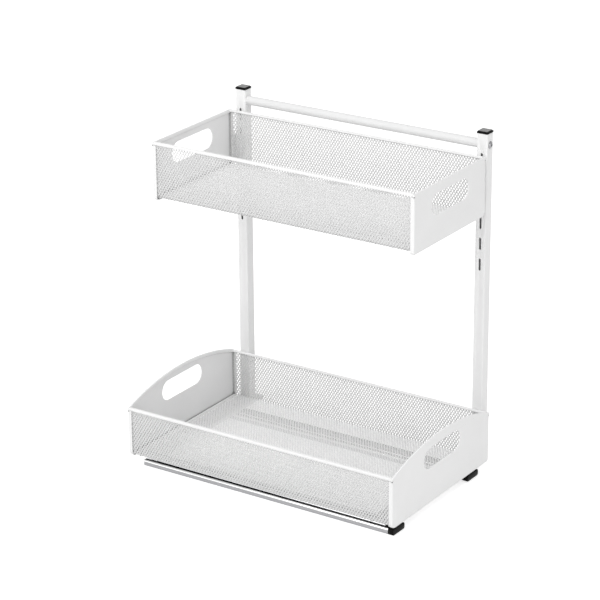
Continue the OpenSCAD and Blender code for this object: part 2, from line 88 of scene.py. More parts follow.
# Expanded metal
MESH_PLANE = 0.75  # from a wall's outer face to the middle of its mesh
MESH_PITCH_ALONG = 4.08
MESH_PITCH_ROUND = 6.3
MESH_STRAND = 1.35
MESH_THICKNESS = 0.5
MESH_RELIEF = 0.15  # how far the edges of a strand lie below its ridge
MESH_LEAN = 0.35  # slope of a leaning strand along the slides
MESH_JOINT = 0.47  # the lattice's joints start this far from the middle of a rhombus, of 0.5
MESH_BEND_RADIUS = 2.4
MESH_BEND_STEPS = 6
MESH_TOP_GAP = 1.4  # from the top of a rim to the mesh inside it
MESH_END_GAP = 1.6  # from the inside of an end panel to a wall's mesh
SELVAGE_GAP = 2.2  # from the inside of an end panel to the plain edge of a floor
SELVAGE_WIDTH = 4.4
SELVAGE_ROUNDING = 0.15

# Painted shade, painted dark reflection and painted sheen in the finishes
SHADE_BAND_FADE_ASIDE = 0.3  # stretch over which the side of a band of painted shade on a slide fades
SHADE_BAND_FADE_UP = 0.2
SHEEN_MARGIN = 1.0  # from the edge of a post cap to the square of painted sheen on its top
SHEEN_FADE = 1.5
SHEEN_START = 0.3  # depth below the top of a cap at which the painted sheen sets in
SHEEN_FULL = 0.1

# The studio, in metres and watts
FLOOR_SIZE = 14
FLOOR_DROP = 0.0002  # keeps the floor clear of the slides' undersides
FLOOR_GLOW = 0.62
WORLD_STRENGTH = 0.69
SOFTBOX_AIM = (0, 0, 0.2)
SOFTBOXES = {"top_softbox": ((-0.1, -1.5, 2.4), 1.8, 20),  # place, size and power
             "front_softbox": ((-0.3, -2.6, 1.4), 1.8, 18),
             "right_softbox": ((2.8, -0.6, 0.8), 1.6, 11)}
CAMERA_PLACE = (1.61513, -2.45647, 1.3733)
CAMERA_AIM = (-0.00371, -0.01839, 0.23549)
CAMERA_ROLL = -0.45  # degrees
CAMERA_LENS = 149.69


# ---------- Node helpers ----------

def add_node(tree, kind, inputs=None, **settings):
    """A node with its settings, and its inputs linked from sockets or set to values."""
    node = tree.nodes.new(kind)
    for name, value in settings.items():
        setattr(node, name, value)
    for key, value in (inputs or {}).items():
        socket = node.inputs[key]
        if isinstance(value, bpy.types.NodeSocket):
            tree.links.new(value, socket)
        else:
            socket.default_value = value
    return node


def maths(tree, operation, a, b=None):
    """The result socket of one Math node."""
    node = add_node(tree, "ShaderNodeMath", {0: a}, operation=operation)
    if b is not None:
        if isinstance(b, bpy.types.NodeSocket):
            tree.links.new(b, node.inputs[1])
        else:
            node.inputs[1].default_value = b
    return node.outputs[0]


def separate(tree, vector):
    """The three parts of a vector."""
    return add_node(tree, "ShaderNodeSeparateXYZ", {0: vector}).outputs


def vector_maths(tree, operation, a, b):
    """The result socket of one Vector Math node."""
    return add_node(tree, "ShaderNodeVectorMath", {0: a, 1: b}, operation=operation).outputs[0]


# ---------- Finishes ----------

def grey(level):
    """A neutral colour."""
    return (level, level, level)


def steel(level):
    """A colour that is a trace bluer than grey."""
    return (level, level, level + 0.01)


def start_finish(name):
    """A material with its Principled shader, and the object's own coordinates."""
    material = bpy.data.materials.new(name)
    material.use_nodes = True
    tree = material.node_tree
    shader = tree.nodes["Principled BSDF"]
    place = tree.nodes.new("ShaderNodeTexCoord").outputs["Object"]
    return material, tree, shader, place


def noise(tree, place, scale, detail, roughness=0.5, stretch=None):
    """Noise at so many waves a metre, drawn out along an axis where stretch says so."""
    if stretch:
        place = add_node(tree, "ShaderNodeMapping", {"Vector": place, "Scale": stretch}).outputs[0]
    return add_node(tree, "ShaderNodeTexNoise", {
        "Vector": place, "Scale": scale, "Detail": detail, "Roughness": roughness}).outputs["Fac"]


def between(tree, factor, low, high, start=0.3, end=0.7):
    """A number that runs from low to high as the factor runs from start to end."""
    return add_node(tree, "ShaderNodeMapRange", {
        "Value": factor, "From Min": start, "From Max": end, "To Min": low, "To Max": high,
    }).outputs["Result"]


def blend_colours(tree, factor, first, second):
    """A colour that runs from the first to the second. Each is a socket or three numbers."""
    ends = [end if isinstance(end, bpy.types.NodeSocket) else (*end, 1) for end in (first, second)]
    return add_node(tree, "ShaderNodeMix", {"Factor": factor, "A": ends[0], "B": ends[1]},
                    data_type="RGBA", blend_type="MIX").outputs["Result"]


def bump(tree, shader, height, strength, distance):
    """Roughens a shader's surface by so many metres."""
    node = add_node(tree, "ShaderNodeBump", {
        "Height": height, "Strength": strength, "Distance": distance})
    tree.links.new(node.outputs[0], shader.inputs["Normal"])


def powder_coat(name, colour, shade, gloss, crevice=None, own_only=True):
    """Baked powder paint: a fine orange peel, a faint cloudiness and a satin sheen. In crevices
    narrower than so many millimetres its colour is darkened as painted shade. Own only leaves
    out the crevices between this piece and others."""
    material, tree, shader, place = start_finish(name)
    cloud = noise(tree, place, scale=28, detail=3)
    surface = blend_colours(tree, between(tree, cloud, 0, 1), colour, shade)
    if crevice:
        # Painted shade: the colour darkens towards a grey where ambient occlusion finds surfaces
        # close by
        open_sky = add_node(tree, "ShaderNodeAmbientOcclusion", {"Distance": crevice * MM},
                            samples=8, only_local=own_only).outputs["AO"]
        surface = blend_colours(tree, between(tree, open_sky, 0, 1, 0.5, 0.85), CREVICE_SHADE, surface)
    tree.links.new(surface, shader.inputs["Base Color"])
    peel = noise(tree, place, scale=900, detail=2.5, roughness=0.55)
    tree.links.new(between(tree, peel, gloss - 0.05, gloss + 0.07), shader.inputs["Roughness"])
    bump(tree, shader, peel, strength=0.10, distance=0.0002)
    shader.inputs["IOR"].default_value = 1.5
    shader.inputs["Coat Weight"].default_value = 0.12
    shader.inputs["Coat Roughness"].default_value = 0.3
    return material


def plated(name, colour, shade, gloss, shade_bands=()):
    """Plated steel that was drawn along the slides: fine lengthwise lines and cloudy plating.
    The strips given are bands of painted shade and painted dark reflection on the steel:
    (middle in metres, then half width, lowest and highest in millimetres, then the colour)."""
    material, tree, shader, place = start_finish(name)
    drawn = noise(tree, place, scale=1400, detail=3, roughness=0.6, stretch=(0.012, 1, 1))
    cloud = noise(tree, place, scale=45, detail=4, roughness=0.6)
    mixed = maths(tree, "ADD", maths(tree, "MULTIPLY", drawn, 0.6),
                  maths(tree, "MULTIPLY", cloud, 0.4))
    surface = blend_colours(tree, between(tree, mixed, 0, 1, 0.38, 0.62), colour, shade)
    spot = separate(tree, place)
    # Each strip darkens the steel towards its colour as painted shade or painted dark reflection
    for middle, half_width, lowest, highest, mark in shade_bands:
        aside = maths(tree, "ABSOLUTE", maths(tree, "SUBTRACT", spot[1], middle))
        strip = between(tree, aside, 1, 0,
                        half_width * MM, (half_width + SHADE_BAND_FADE_ASIDE) * MM)
        strip = maths(tree, "MULTIPLY", strip, between(
            tree, spot[2], 0, 1, (lowest - SHADE_BAND_FADE_UP) * MM, lowest * MM))
        strip = maths(tree, "MULTIPLY", strip, between(
            tree, spot[2], 1, 0, highest * MM, (highest + SHADE_BAND_FADE_UP) * MM))
        surface = blend_colours(tree, strip, surface, mark)
    tree.links.new(surface, shader.inputs["Base Color"])
    tree.links.new(between(tree, mixed, gloss - 0.04, gloss + 0.08), shader.inputs["Roughness"])
    bump(tree, shader, drawn, strength=0.12, distance=0.0001)
    shader.inputs["Metallic"].default_value = 1.0
    return material


def moulded_plastic(name, colour, shade, gloss, sheen_tops=()):
    """Black moulding with a fine spark-eroded grain. The squares given are turned grey on top as
    painted sheen of the light from above: (x, y, half side, height) in metres."""
    material, tree, shader, place = start_finish(name)
    grain = noise(tree, place, scale=2200, detail=2, roughness=0.6)
    cloud = noise(tree, place, scale=120, detail=3)
    surface = blend_colours(tree, between(tree, cloud, 0, 1), colour, shade)
    spot = separate(tree, place)
    for x, y, half_side, height in sheen_tops:
        aside = maths(tree, "MAXIMUM",
                      maths(tree, "ABSOLUTE", maths(tree, "SUBTRACT", spot[0], x)),
                      maths(tree, "ABSOLUTE", maths(tree, "SUBTRACT", spot[1], y)))
        # Painted sheen: a grey square on the top of the cap
        top_sheen = maths(
            tree, "MULTIPLY",
            between(tree, aside, 1, 0, half_side - SHEEN_FADE * MM, half_side),
            between(tree, spot[2], 0, 1, height - SHEEN_START * MM, height - SHEEN_FULL * MM))
        surface = blend_colours(tree, top_sheen, surface, TOP_SHEEN_GREY)
    tree.links.new(surface, shader.inputs["Base Color"])
    tree.links.new(between(tree, grain, gloss - 0.05, gloss + 0.08), shader.inputs["Roughness"])
    bump(tree, shader, grain, strength=0.15, distance=0.0001)
    shader.inputs["IOR"].default_value = 1.5
    shader.inputs["Specular IOR Level"].default_value = 0.06
    return material


def cap_sheen_squares():
    """The square of painted sheen on top of each post cap."""
    tops = []
    for side in ("left", "right"):
        low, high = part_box("post_cap_" + side)
        tops.append(((low.x + high.x) / 2, (low.y + high.y) / 2,
                     (high.x - low.x) / 2 - SHEEN_MARGIN * MM, high.z))
    return tops


def slide_middles():
    """Where the middles of the two slides lie across, in metres."""
    boxes = [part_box("outer_rail_" + place) for place in ("front", "rear")]
    return [(low.y + high.y) / 2 for low, high in boxes]


# Painted shade for crevices, painted sheen for the tops of the post caps, and painted shade and
# painted dark reflection for the slides
CREVICE_SHADE, TOP_SHEEN_GREY, SHADE_AND_REFLECTION_BLACK = grey(0.20), grey(0.24), grey(0.012)
# Painted shade on the lower side of each outer slide
SIDE_SHADE_STEEL = steel(0.33)
WHITE_COAT = powder_coat("white_powder_coat", grey(0.86), grey(0.84), 0.56)
# The end panels' coat, darkened in its own crevices as painted shade
CREVICE_SHADED_COAT = powder_coat("dusty_powder_coat", grey(0.86), grey(0.84), 0.56, crevice=6.0)
# The walls' mesh is a darker copy of the white coat as painted shade, and both mesh coats darken
# near this and other pieces as painted shade
SHADED_WALL_COAT = powder_coat("white_mesh_coat", grey(0.72), grey(0.69), 0.5,
                        crevice=2.0, own_only=False)
FLOOR_COAT = powder_coat("white_floor_coat", grey(0.83), grey(0.80), 0.5,
                         crevice=2.0, own_only=False)
BAR_COAT = powder_coat("white_bar_coat", grey(0.78), grey(0.76), 0.56)
ZINC = plated("zinc_plating", steel(0.60), steel(0.50), 0.28)
BOLT = plated("bolt_plating", steel(0.34), steel(0.26), 0.2)
BRIGHT = plated("bright_plating", steel(0.78), steel(0.70), 0.16)
# Painted shade on the outer slides: the lower side darker, and the inside of the channel black
OUTER_SLIDE = plated("outer_slide_plating", grey(0.90), grey(0.84), 0.24,
                     [(middle, *mark) for middle in slide_middles()
                      for mark in ((14.0, -1.0, 5.9, SIDE_SHADE_STEEL), (11.7, 1.0, 12.0, SHADE_AND_REFLECTION_BLACK))])
# Painted shade and reflection on the inner slides: black below the lips as painted shade, and black
# on top as a painted dark reflection of the mesh above
INNER_SLIDE = plated("inner_slide_plating", steel(0.84), steel(0.78), 0.2,
                     [(middle, *mark) for middle in slide_middles()
                      for mark in ((10.0, 0.0, 8.8, SHADE_AND_REFLECTION_BLACK), (9.2, 10.8, 12.0, SHADE_AND_REFLECTION_BLACK))])
BLACK = moulded_plastic("black_moulding", grey(0.003), grey(0.007), 0.30)
# Black moulding with a painted sheen on the top of each post cap
SHEEN_TOPPED_BLACK = moulded_plastic("matt_topped_black", grey(0.003), grey(0.007), 0.36, cap_sheen_squares())
FINISHES = {"white_coat": WHITE_COAT, "white_mesh": SHADED_WALL_COAT, "zinc_steel": ZINC,
            "bright_steel": BRIGHT, "black_plastic": BLACK}


# ---------- Finished pieces ----------

def finish_piece(name, mesh, body, slot, node, finish=None):
    """Links a mesh as a piece that rides on a body and stands for the CAD node named."""
    piece = bpy.data.objects.new(name, mesh)
    bpy.context.scene.collection.objects.link(piece)
    mesh.materials.clear()
    mesh.materials.append(finish or FINISHES[slot])
    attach(piece, body)
    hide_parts(node)
    return piece


def round_edges(piece, width):
    """Rounds every edge that is sharper than 35 degrees, as tumbling and paint do."""
    bevel = piece.modifiers.new("round_edges", "BEVEL")
    bevel.width = width * MM
    bevel.segments = 2
    bevel.limit_method = "ANGLE"
    bevel.angle_limit = math.radians(35)
    bevel.harden_normals = True
    bevel.use_clamp_overlap = True
    for polygon in piece.data.polygons:
        polygon.use_smooth = True


def close_shell(shell, name):
    """Merges a shell's doubles, turns its faces outwards and gives its mesh."""
    bmesh.ops.remove_doubles(shell, verts=shell.verts, dist=1e-7)
    bmesh.ops.recalc_face_normals(shell, faces=shell.faces)
    mesh = bpy.data.meshes.new(name)
    shell.to_mesh(mesh)
    shell.free()
    return mesh


# ---------- Expanded metal ----------

def expanded_metal_tree():
    """Lays a rhombic lattice flat, opens each rhombus, gives the strands their thickness and
    bends the sheet round the profile. Distances along the profile start at its first point."""
    tree = bpy.data.node_groups.new("expanded_metal", "GeometryNodeTree")
    face = tree.interface
    face.new_socket("Geometry", in_out="INPUT", socket_type="NodeSocketGeometry")
    face.new_socket("Profile", in_out="INPUT", socket_type="NodeSocketObject")
    for name in ("Half Length", "From", "To", "Middle", "Pitch Along", "Pitch Round",
                 "Opening", "Thickness", "Relief", "Lean", "Bend Radius"):
        face.new_socket(name, in_out="INPUT", socket_type="NodeSocketFloat")
    face.new_socket("Lattice Size", in_out="INPUT", socket_type="NodeSocketInt")
    face.new_socket("Finish", in_out="INPUT", socket_type="NodeSocketMaterial")
    face.new_socket("Geometry", in_out="OUTPUT", socket_type="NodeSocketGeometry")
    given = tree.nodes.new("NodeGroupInput").outputs

    # A square lattice with one unit between its points, turned into rhombi
    span = maths(tree, "SUBTRACT", given["Lattice Size"], 1)
    grid = add_node(tree, "GeometryNodeMeshGrid", {
        "Size X": span, "Size Y": span,
        "Vertices X": given["Lattice Size"], "Vertices Y": given["Lattice Size"]})
    at = separate(tree, tree.nodes.new("GeometryNodeInputPosition").outputs[0])
    along = maths(tree, "MULTIPLY", maths(tree, "SUBTRACT", at[0], at[1]),
                  maths(tree, "MULTIPLY", given["Pitch Along"], 0.5))
    around = maths(tree, "ADD", given["Middle"], maths(
        tree, "MULTIPLY", maths(tree, "ADD", at[0], at[1]),
        maths(tree, "MULTIPLY", given["Pitch Round"], 0.5)))
    upper = maths(tree, "MULTIPLY", given["Thickness"], 0.5)
    laid = add_node(tree, "ShaderNodeCombineXYZ", {0: along, 1: around, 2: upper}).outputs[0]
    lattice = add_node(tree, "GeometryNodeSetPosition", {
        "Geometry": grid.outputs["Mesh"], "Position": laid}).outputs[0]

    # Keep the rhombi whose middles lie on this sheet
    middle = separate(tree, tree.nodes.new("GeometryNodeInputPosition").outputs[0])
    past_end = maths(tree, "GREATER_THAN", maths(tree, "ABSOLUTE", middle[0]), given["Half Length"])
    before = maths(tree, "LESS_THAN", middle[1], given["From"])
    after = maths(tree, "GREATER_THAN", middle[1], given["To"])
    outside = maths(tree, "GREATER_THAN",
                    maths(tree, "ADD", past_end, maths(tree, "ADD", before, after)), 0.5)
    kept = add_node(tree, "GeometryNodeDeleteGeometry", {
        "Geometry": lattice, "Selection": outside}, domain="FACE", mode="ALL").outputs[0]

    # Open each rhombus. Its rim sinks a little, so each strand has a ridge
    sunk = maths(tree, "MULTIPLY", given["Relief"], -1.0)
    raised = add_node(tree, "GeometryNodeExtrudeMesh", {
        "Mesh": kept, "Offset Scale": sunk, "Individual": True}, mode="FACES")
    shrunk = add_node(tree, "GeometryNodeScaleElements", {
        "Geometry": raised.outputs["Mesh"], "Selection": raised.outputs["Top"],
        "Scale": given["Opening"]}, domain="FACE").outputs[0]
    upper_side = add_node(tree, "GeometryNodeDeleteGeometry", {
        "Geometry": shrunk, "Selection": raised.outputs["Top"]},
        domain="FACE", mode="ALL").outputs[0]

    # The lower side mirrors the upper one, and walls join the two
    turned = add_node(tree, "GeometryNodeFlipFaces", {"Mesh": upper_side}).outputs[0]
    walls = add_node(tree, "GeometryNodeExtrudeMesh", {
        "Mesh": turned, "Offset Scale": 0.0, "Individual": False}, mode="FACES")
    mirrored = vector_maths(tree, "MULTIPLY",
                            tree.nodes.new("GeometryNodeInputPosition").outputs[0], (1, 1, -1))
    lower_side = add_node(tree, "GeometryNodeSetPosition", {
        "Geometry": walls.outputs["Mesh"], "Selection": walls.outputs["Top"],
        "Position": mirrored}).outputs[0]
    joined = tree.nodes.new("GeometryNodeJoinGeometry")
    tree.links.new(upper_side, joined.inputs[0])
    tree.links.new(lower_side, joined.inputs[0])
    flat = add_node(tree, "GeometryNodeMergeByDistance", {
        "Geometry": joined.outputs[0], "Distance": 1e-6}).outputs[0]

    # Each strand leans over, as the expanding press leaves it: one side of every opening
    # stands higher than the other, and the joints between strands stay where they are
    spot = separate(tree, tree.nodes.new("GeometryNodeInputPosition").outputs[0])
    across_step = maths(tree, "DIVIDE", spot[0], maths(tree, "MULTIPLY", given["Pitch Along"], 0.5))
    round_step = maths(tree, "DIVIDE", maths(tree, "SUBTRACT", spot[1], given["Middle"]),
                       maths(tree, "MULTIPLY", given["Pitch Round"], 0.5))
    lean = given["Lean"]
    sides = []
    for way in ("ADD", "SUBTRACT"):
        step = maths(tree, "MULTIPLY", maths(tree, way, round_step, across_step), 0.5)
        part = maths(tree, "SUBTRACT", maths(tree, "FRACT", step), 0.5)
        inside = maths(tree, "LESS_THAN", maths(tree, "ABSOLUTE", part), MESH_JOINT)
        lean = maths(tree, "MULTIPLY", lean, inside)
        sides.append(part)
    tilt = maths(tree, "MULTIPLY", maths(tree, "SUBTRACT", *sides), maths(
        tree, "MULTIPLY", lean, maths(tree, "MULTIPLY", given["Pitch Along"], 0.5)))
    leaning = add_node(tree, "GeometryNodeSetPosition", {
        "Geometry": flat,
        "Offset": add_node(tree, "ShaderNodeCombineXYZ", {2: tilt}).outputs[0]}).outputs[0]

    # Bend the flat sheet round the profile
    profile = add_node(tree, "GeometryNodeObjectInfo", {"Object": given["Profile"]},
                       transform_space="ORIGINAL").outputs["Geometry"]
    path = add_node(tree, "GeometryNodeFilletCurve", {
        "Curve": profile, "Radius": given["Bend Radius"], "Count": MESH_BEND_STEPS}, mode="POLY")
    spot = separate(tree, tree.nodes.new("GeometryNodeInputPosition").outputs[0])
    found = add_node(tree, "GeometryNodeSampleCurve", {
        "Curves": path.outputs[0], "Length": spot[1]}, mode="LENGTH", use_all_curves=True)
    inward = vector_maths(tree, "CROSS_PRODUCT", (1, 0, 0), found.outputs["Tangent"])
    lifted = add_node(tree, "ShaderNodeVectorMath", {0: inward}, operation="SCALE")
    tree.links.new(spot[2], lifted.inputs["Scale"])
    sideways = add_node(tree, "ShaderNodeCombineXYZ", {0: spot[0]}).outputs[0]
    bent = add_node(tree, "GeometryNodeSetPosition", {
        "Geometry": leaning,
        "Position": vector_maths(tree, "ADD", found.outputs["Position"],
                                 vector_maths(tree, "ADD", lifted.outputs[0], sideways))})
    real = add_node(tree, "GeometryNodeRealizeInstances", {"Geometry": bent.outputs[0]})
    finished = add_node(tree, "GeometryNodeSetMaterial", {
        "Geometry": real.outputs[0], "Material": given["Finish"]})
    tree.links.new(finished.outputs[0], tree.nodes.new("NodeGroupOutput").inputs[0])
    return tree


EXPANDED_METAL = expanded_metal_tree()


def add_strips(mesh, strips):
    """Joins plain strips, each (x, x, y, y, z, z), to a mesh, with their edges rounded."""
    shell = bmesh.new()
    shell.from_mesh(mesh)
    for x0, x1, y0, y1, z0, z1 in strips:
        turn = Matrix.Translation(((x0 + x1) / 2, (y0 + y1) / 2, (z0 + z1) / 2))
        size = Matrix.Diagonal((x1 - x0, y1 - y0, z1 - z0, 1))
        made = bmesh.ops.create_cube(shell, size=1, matrix=turn @ size)
        edges = {edge for corner in made["verts"] for edge in corner.link_edges}
        bmesh.ops.bevel(shell, geom=list(edges), offset=SELVAGE_ROUNDING * MM, segments=2,
                        profile=0.5, affect="EDGES", clamp_overlap=True)
    shell.to_mesh(mesh)
    shell.free()


def mesh_sheet_piece(name, node, body, profile, settings, coat, strips=()):
    """One sheet of expanded metal as a plain mesh that stands for a CAD mesh node, with the
    plain strips along its edges."""
    blank = bpy.data.objects.new(name + "_blank", bpy.data.meshes.new(name))
    bpy.context.scene.collection.objects.link(blank)
    maker = blank.modifiers.new("expanded_metal", "NODES")
    maker.node_group = EXPANDED_METAL
    values = {"Profile": profile, "Finish": coat, **settings}
    for item in EXPANDED_METAL.interface.items_tree:
        if item.in_out == "INPUT" and item.name in values:
            maker[item.identifier] = values[item.name]
    ready = bpy.context.evaluated_depsgraph_get()
    mesh = bpy.data.meshes.new_from_object(blank.evaluated_get(ready), depsgraph=ready)
    mesh.name = name
    bpy.data.objects.remove(blank)
    if strips:
        add_strips(mesh, strips)
    finish_piece(name, mesh, body, "white_mesh", node, coat)


# ---------- Baskets ----------

class Basket:
    """The sizes of one basket in millimetres, with its place from the CAD boxes."""

    def __init__(self, name, body, rise, wall_height, front_radius, rear_radius, floor_height):
        self.name, self.body, self.rise = name, body, rise
        self.wall_height, self.floor_height = wall_height, floor_height
        self.front_radius, self.rear_radius = front_radius, rear_radius
        low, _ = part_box(name + "_end_panel_left")
        _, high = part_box(name + "_end_panel_right")
        self.half = high.x / MM
        self.front, self.back = low.y / MM, high.y / MM
        self.bottom, self.top = low.z / MM, high.z / MM
        self.depth = self.back - self.front
        self.corner = self.top - self.bottom - rise


def top_height(basket, d, below):
    """Height of an end panel's top edge at depth d, less a distance below the edge."""
    corner, rise, depth = basket.corner, basket.rise, basket.depth
    if rise == 0:
        return corner - below
    radius = ((depth / 2) ** 2 + rise ** 2) / (2 * rise)
    across = d - depth / 2
    return corner + rise - radius + math.sqrt((radius - below) ** 2 - across ** 2)


def edge_path(basket):
    """Points down the front edge, round the corners and up the rear edge of an end panel, as
    (place, inward direction, lip width)."""
    depth, front_r, rear_r = basket.depth, basket.front_radius, basket.rear_radius
    front_top = basket.wall_height - FRONT_RIM_HEIGHT - LIP_SEAT
    rear_top = basket.wall_height - REAR_RIM_HEIGHT - LIP_SEAT
    path = [((0, front_top), (1, 0), SIDE_LIP), ((0, front_r + CORNER_LEAD), (1, 0), SIDE_LIP)]
    steps = 8
    for i in range(steps + 1):
        a = math.pi / 2 * i / steps
        path.append(((front_r - front_r * math.cos(a), front_r - front_r * math.sin(a)),
                     (math.cos(a), math.sin(a)), SIDE_LIP))
    path.append(((front_r + LIP_TAPER, 0), (0, 1), BOTTOM_LIP))
    path.append(((depth - rear_r - LIP_TAPER, 0), (0, 1), BOTTOM_LIP))
    for i in range(steps + 1):
        a = math.pi / 2 * i / steps
        path.append(((depth - rear_r + rear_r * math.sin(a), rear_r - rear_r * math.cos(a)),
                     (-math.sin(a), math.cos(a)), SIDE_LIP))
    path.append(((depth, rear_top), (-1, 0), SIDE_LIP))
    return path


def lip_section(width):
    """The fold and lip: (distance in from the edge, distance in from the outer face)."""
    r, t, soft = FOLD_RADIUS, SHEET, LIP_TIP_SOFTNESS
    steps = 5
    outer = [(r - r * math.sin(a), r - r * math.cos(a))
             for a in (math.pi / 2 * i / steps for i in range(steps + 1))]
    inner = [(r - (r - t) * math.sin(a), r - (r - t) * math.cos(a))
             for a in (math.pi / 2 * i / steps for i in range(steps, -1, -1))]
    tip = [(0, width - soft), (soft * 0.3, width - soft * 0.3), (soft, width),
           (t - soft, width), (t - soft * 0.3, width - soft * 0.3), (t, width - soft)]
    return outer + tip + inner


def hem_section():
    """The folded top edge: (distance below the edge, distance in from the outer face)."""
    t, soft, steps = SHEET, HEM_SOFTNESS, 8
    fold = [(t - t * math.sin(a), t - t * math.cos(a))
            for a in (math.pi * i / steps for i in range(steps + 1))]
    return fold + [(HEM_HEIGHT - soft, 2 * t), (HEM_HEIGHT, 2 * t - soft), (HEM_HEIGHT, t)]


def end_panel_piece(basket, side):
    """An end panel folded from one sheet: lips on three edges, a hem along the top, a notch
    where each side lip ends, and the handle cut-out."""
    word = "left" if side < 0 else "right"
    name = f"{basket.name}_end_panel_{word}"
    shell = bmesh.new()

    def corner(d, h, n):
        return shell.verts.new((side * (basket.half - n) * MM, (basket.front + d) * MM,
                                (basket.bottom + h) * MM))

    def skin(rows):
        for first, second in zip(rows, rows[1:]):
            for i in range(len(first) - 1):
                shell.faces.new((first[i], first[i + 1], second[i + 1], second[i]))

    path = edge_path(basket)
    lips = [[corner(p[0] + e * way[0], p[1] + e * way[1], n) for e, n in lip_section(width)]
            for p, way, width in path]
    skin(lips)
    shell.faces.new(lips[0])
    shell.faces.new(lips[-1])

    steps = 48 if basket.rise else 2
    depths = [basket.depth * i / steps for i in range(steps + 1)]
    hem = [[corner(d, top_height(basket, d, e), n) for e, n in hem_section()] for d in depths]
    skin(hem)

    # The front and rear edges above the lips, and the notches at the lips' ends
    ends = []
    for d, inside, lip, fold in ((0, FOLD_RADIUS, lips[0], hem[0]),
                                 (basket.depth, basket.depth - FOLD_RADIUS, lips[-1], hem[-1])):
        step = path[0 if d == 0 else -1][0][1] + NOTCH
        side_h = top_height(basket, d, HEM_HEIGHT)
        outer = [lip[0], corner(inside, step, 0), corner(d, step, 0), corner(d, side_h, 0)]
        inner = [lip[-1], corner(inside, step, SHEET), corner(d, step, SHEET), fold[-1]]
        skin([outer, inner])
        shell.faces.new([outer[3], *fold])
        ends.append((outer, inner))

    # The flat of the sheet, outside and inside, round the handle
    middle = (basket.depth / 2, basket.corner + basket.rise - HANDLE_MARGIN - HANDLE_HEIGHT / 2)
    reach, r, turns = (HANDLE_LENGTH - HANDLE_HEIGHT) / 2, HANDLE_HEIGHT / 2, 20
    handle = []
    for way, start in ((1, -math.pi / 2), (-1, math.pi / 2)):
        for i in range(turns + 1):
            a = start + math.pi * i / turns
            handle.append((middle[0] + way * reach + r * math.cos(a), middle[1] + r * math.sin(a)))
    holes = [[corner(d, h, n) for d, h in handle] for n in (0, SHEET)]
    skin([holes[0] + holes[0][:1], holes[1] + holes[1][:1]])
    for layer, hole in enumerate(holes):
        at, last = ((0, 4), (-1, 3))[layer]
        front, rear = (end[layer][1:last] for end in ends)
        loop = [row[at] for row in lips] + rear
        loop += [row[at] for row in reversed(hem)] + list(reversed(front))
        loops = [[Vector((v.co.y, v.co.z, 0)) for v in ring] for ring in (loop, hole)]
        corners = loop + hole
        for triangle in tessellate_polygon(loops):
            shell.faces.new([corners[i] for i in triangle])
    # The panel's coat darkens in its crevices as painted shade
    piece = finish_piece(name + "_sheet", close_shell(shell, name), basket.body, "white_coat", name,
                         CREVICE_SHADED_COAT)
    round_edges(piece, PANEL_ROUNDING)


def rim_piece(basket, where, y, height):
    """A rolled rim: a strip bent over the top of the mesh, rounded above and below on its
    outer side, with a short fold inside."""
    name = f"{basket.name}_rim_{where}"
    half = (basket.half - 2 * SHEET - RIM_END_GAP) * MM
    top = basket.bottom + basket.wall_height
    r, steps = RIM_WIDTH / 2, 6

    def quarter(across, up, radius, start):
        return [(across + radius * math.cos(a), up + radius * math.sin(a))
                for a in (start + math.pi / 2 * i / steps for i in range(steps + 1))]

    out = 1 if where == "rear" else -1
    outline = [(out * across, up) for across, up in (
        *quarter(r - RIM_CURL, RIM_CURL, RIM_CURL, -math.pi / 2),
        *quarter(r - RIM_CROWN, height - RIM_CROWN, RIM_CROWN, 0),
        *quarter(-r + RIM_INNER_CROWN, height - RIM_INNER_CROWN, RIM_INNER_CROWN, math.pi / 2),
        (-r, height - RIM_FOLD), (r - RIM_CURL, height - RIM_FOLD))]
    shell = bmesh.new()
    rows = [[shell.verts.new((x, (y + dy) * MM, (top - height + dz) * MM)) for dy, dz in outline]
            for x in (-half, half)]
    count = len(outline)
    for i in range(count):
        j = (i + 1) % count
        shell.faces.new((rows[0][i], rows[0][j], rows[1][j], rows[1][i]))
    for row in rows:
        flat = [[Vector((v.co.y, v.co.z, 0)) for v in row]]
        for triangle in tessellate_polygon(flat):
            shell.faces.new([row[i] for i in triangle])
    piece = finish_piece(name + "_strip", close_shell(shell, name), basket.body, "white_coat", name)
    round_edges(piece, RIM_ROUNDING)


